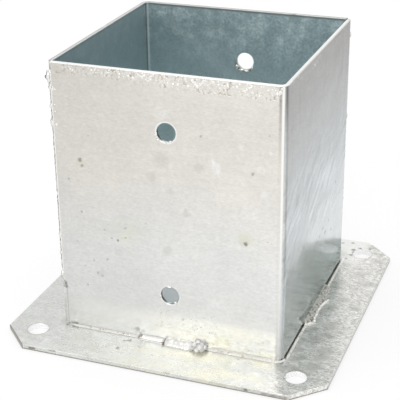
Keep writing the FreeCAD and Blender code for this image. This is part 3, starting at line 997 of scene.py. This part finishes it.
# One piece out of beads and lumps that were made in the frame of the place where it goes.
def addMetal(name, beads, lumps, material, place, slot, *stoodFor):
    mesh = joinedMesh(name, beads, lumps, material)
    mesh.transform(place)
    addPiece(name, mesh, slot, *stoodFor)


def makeFootWelds(tree, material, rusty):
    for side, beads in footWelds.items():
        metal = rusty if side == "right" else material
        meshes = [grownBead(tree, bead, metal) for bead in beads]
        addMetal("weld_" + side, meshes, footLumps[side], metal, sideFrame(side),
                 "galvanised_weld", "base_weld_" + side)


def makeToeZinc(tree, material):            # the ridge, and drops of zinc left at the holes
    ridge = grownBead(tree, toeRidge, material)
    addMetal("toe_zinc_right", [ridge], toeLumps, material, sideFrame("right"), "galvanised_weld")
    addMetal("hole_zinc", [], holeLumps, material, sideFrame("front"), "galvanised_sheet")


def cornerFrame(turn):                      # local -X up, -Y and Z out along the two walls
    root = Matrix.Translation(Vector(grooveRoot) * mm)
    stand = Matrix(((0, 1, 0, 0), (0, 0, -1, 0), (-1, 0, 0, 0), (0, 0, 0, 1)))
    return Matrix.Rotation(math.radians(turn), 4, "Z") @ root @ stand


def makeCornerWelds(tree, material):
    for name, turn, seed in (("front_left", 0, 4.0), ("back_right", 180, 40.0)):
        bead = grownBead(tree, dict(cornerBead, Seed=seed), material)
        addMetal("weld_" + name, [bead], cornerLumps[name], material, cornerFrame(turn),
                 "galvanised_weld", "corner_weld_" + name)


filletNature = {"Reach": 0.85, "Rise": 0.75, "Hollow": 1.8, "Ripple height": 0.0, "Roughness": 0.5,
                "Lump size": 3.0, "End length": 2.0, "Seed": 60.0}
seamNature = {"path": [(-30, 0, 0), (-3.3, 0, 0)], "Reach": 1.5, "Rise": 1.5, "Hollow": 1.0,
              "Ripple height": 0.0, "Roughness": 0.25, "Lump size": 5.0, "Seed": 70.0}


def roundFold(first, last):                 # a foot path that goes from one side round its fold
    straight = outerFace - foldRadius
    points = [(first, 0, 0)]
    for step in range(7):
        angle = math.radians(15 * step)
        points.append((straight + foldRadius * math.sin(angle), foldRadius * (math.cos(angle) - 1), 0))
    points.append((outerFace, last - foldRadius, 0))
    return points


def makeFootZinc(tree, material):           # zinc that ran into the corner between wall and plate
    runs = {
        "front": [[(-57, 0, 0), (-17, 0, 0)], roundFold(21, -1)],
        "back": [[(-58, 0, 0), (-20, 0, 0)], roundFold(22, -30)],
        "left": [[(-30, 0, 0), (-20, 0, 0)], [(20, 0, 0), (58, 0, 0)]],
        "right": [[(-57, 0.9, 0), (-40, 0.7, 0), (-21, 0.9, 0)], [(24, 1.0, 0), (57, 0.8, 0)]],
    }
    for side, paths in runs.items():
        beads = [grownBead(tree, dict(filletNature, path=path), material) for path in paths]
        addMetal("foot_zinc_" + side, beads, [], material, sideFrame(side), "galvanised_sheet")
    for name, turn in (("front_left", 0), ("back_right", 180)):
        bead = grownBead(tree, seamNature, material)
        addMetal("seam_zinc_" + name, [bead], [], material, cornerFrame(turn), "galvanised_sheet")


dropFine = {
    "cuts": 6,                              # times a patch is halved both ways, for its random share
    "fewLarge": 3.0,                        # the random size from 0 to 1 is raised to this
    "dents": 1400.0,                        # per m
    "dentDepth": 0.0006,                    # m
}


def dropTree(fine):                         # drops of zinc strewn over a flat patch
    kinds = {"Density": "Float", "Smallest": "Float", "Largest": "Float", "Flatness": "Float",
             "Patch size": "Float", "Patch share": "Float", "Seed": "Int", "Material": "Material"}
    tree, start, given = emptyGroup("drops", kinds)
    place = start.node("GeometryNodeInputPosition", {}, {})
    patches = {"Vector": place, "W": given["Seed"], "Scale": 1 / given["Patch size"], "Detail": 2.0}
    patch = start.node("ShaderNodeTexNoise", {"noise_dimensions": "4D"}, patches)
    cut = start.node("GeometryNodeSubdivideMesh", {},
                     {"Mesh": given["Geometry"], "Level": fine["cuts"]})
    strewn = start.node("GeometryNodeDistributePointsOnFaces", {}, {
        "Mesh": cut, "Selection": patch > 1 - given["Patch share"],
        "Density": given["Density"], "Seed": given["Seed"]})
    drop = start.node("GeometryNodeMeshIcoSphere", {}, {"Radius": 1.0, "Subdivisions": 3})
    chance = start.node("FunctionNodeRandomValue", {"data_type": "FLOAT"}, {"Seed": given["Seed"]}, 1)
    chance = chance.math("POWER", fine["fewLarge"])
    size = chance * (given["Largest"] - given["Smallest"]) + given["Smallest"]
    scale = joined(start, size, size, size * given["Flatness"])
    dropped = start.node("GeometryNodeInstanceOnPoints", {},
                         {"Points": strewn, "Instance": drop, "Scale": scale})
    dropped = start.node("GeometryNodeRealizeInstances", {}, {"Geometry": dropped})
    uneven = {"Vector": place, "Scale": fine["dents"], "Detail": 2.0}
    push = start.node("ShaderNodeTexNoise", {}, uneven, "Color")
    push = start.node("ShaderNodeVectorMath", {"operation": "SUBTRACT"}, {0: push, 1: (0.5, 0.5, 0.5)})
    push = start.node("ShaderNodeVectorMath", {"operation": "SCALE"},
                      {0: push, "Scale": fine["dentDepth"]})
    dropped = start.node("GeometryNodeSetPosition", {}, {"Geometry": dropped, "Offset": push})
    done = start.node("GeometryNodeSetMaterial", {}, {"Geometry": dropped, "Material": given["Material"]})
    start.node("NodeGroupOutput", {}, {0: done})
    return tree


dropShape = {"Smallest": 0.22, "Largest": 0.85, "Patch size": 4.0}          # mm
dropNature = {"Density": 0.5, "Flatness": 0.40, "Patch share": 0.5}         # drops per mm2
# Each patch: which wall, its two corners in mm, and what differs.
dropPatches = [
    {"on": "front", "from": (-30, 147.8), "to": (60.5, 152.2), "Density": 1.1, "Seed": 1},
    {"on": "front", "from": (-56, 149.5), "to": (-30, 152.2), "Density": 0.4, "Largest": 0.6, "Seed": 10},
    {"on": "front", "from": (0, 144.5), "to": (60.5, 148.0), "Density": 0.20, "Largest": 0.6, "Seed": 2},
    {"on": "front", "from": (-8, 11.5), "to": (28, 24), "Density": 0.30, "Largest": 0.6, "Seed": 3},
    {"on": "front", "from": (-60.4, 104), "to": (-58.2, 150), "Density": 0.34, "Largest": 0.7, "Seed": 4},
    {"on": "front", "from": (-60.4, 29), "to": (-58.6, 66), "Density": 0.14, "Largest": 0.6, "Seed": 5},
    {"on": "front", "from": (24, 4), "to": (60, 14), "Density": 0.10, "Largest": 0.6, "Seed": 6},
    {"on": "right", "from": (-60, 148), "to": (58, 152.0), "Density": 0.12, "Largest": 0.5, "Seed": 7},
    {"on": "back", "from": (-60, 147), "to": (60, 152.2), "Density": 0.40, "Seed": 8},
    {"on": "left", "from": (-60, 147), "to": (60, 152.2), "Density": 0.30, "Seed": 9},
]


def patchMesh(patch):
    (lowX, lowY), (highX, highY) = patch["from"], patch["to"]
    mesh = bpy.data.meshes.new("patch")
    corners = [(lowX, lowY, 0), (highX, lowY, 0), (highX, highY, 0), (lowX, highY, 0)]
    mesh.from_pydata([Vector(corner) * mm for corner in corners], [], [(0, 1, 2, 3)])
    return mesh


def wallFrame(side):                        # local: X along the wall, Y up from the floor, Z out
    stand = Matrix(((1, 0, 0, 0), (0, 0, -1, -outerFace * mm), (0, 1, 0, 0), (0, 0, 0, 1)))
    return Matrix.Rotation(math.radians(sideTurns[side]), 4, "Z") @ stand


def makeDrops(tree, material):
    for number, patch in enumerate(dropPatches):
        values = {**dropShape, **dropNature, **patch}
        for label in dropShape:
            values[label] *= mm
        values["Density"] /= mm * mm
        source = bpy.data.objects.new("patch", patchMesh(patch))
        mesh = grown("drops", source, tree, dict(values, Material=material))
        mesh.transform(wallFrame(patch["on"]))
        addPiece("zinc_drops_%d" % (number + 1), mesh, "galvanised_sheet")


makeCamera(cameraPlace)
makeWorld(stageLook)
makeFloor(stageLook)
makeFloorCard(floorCard)
makeBackCard(backCard)
for name, lamp in lamps.items():
    makeLamp(name, lamp)
bpy.context.scene.cycles.glossy_bounces = stageLook["glossyBounces"]
print("camera, lamps and floor made")

sheetMaterial = makeSheetZinc(sheetZinc)
plateMaterial = makePlateZinc(plateZinc)
for name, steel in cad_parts.items():
    steel.data.materials.clear()
    steel.data.materials.append(plateMaterial if name == "base_plate" else sheetMaterial)
print("zinc laid on the sheets and the plate")

beads = beadTree(beadFine)
weldMaterial = makeWeldZinc("zinc_weld", weldZinc)
rustyMaterial = makeWeldZinc("zinc_weld_rusty", rustyWeldZinc)
dropMaterial = makeWeldZinc("zinc_drops", dropZinc)
makeFootWelds(beads, weldMaterial, rustyMaterial)
makeCornerWelds(beads, weldMaterial)
makeToeZinc(beads, dropMaterial)
makeFootZinc(beads, makeWeldZinc("zinc_fillet", filletZinc))
print("welds laid")
makeDrops(dropTree(dropFine), dropMaterial)
print("drops strewn")

bpy.context.scene.view_settings.view_transform = "Standard"
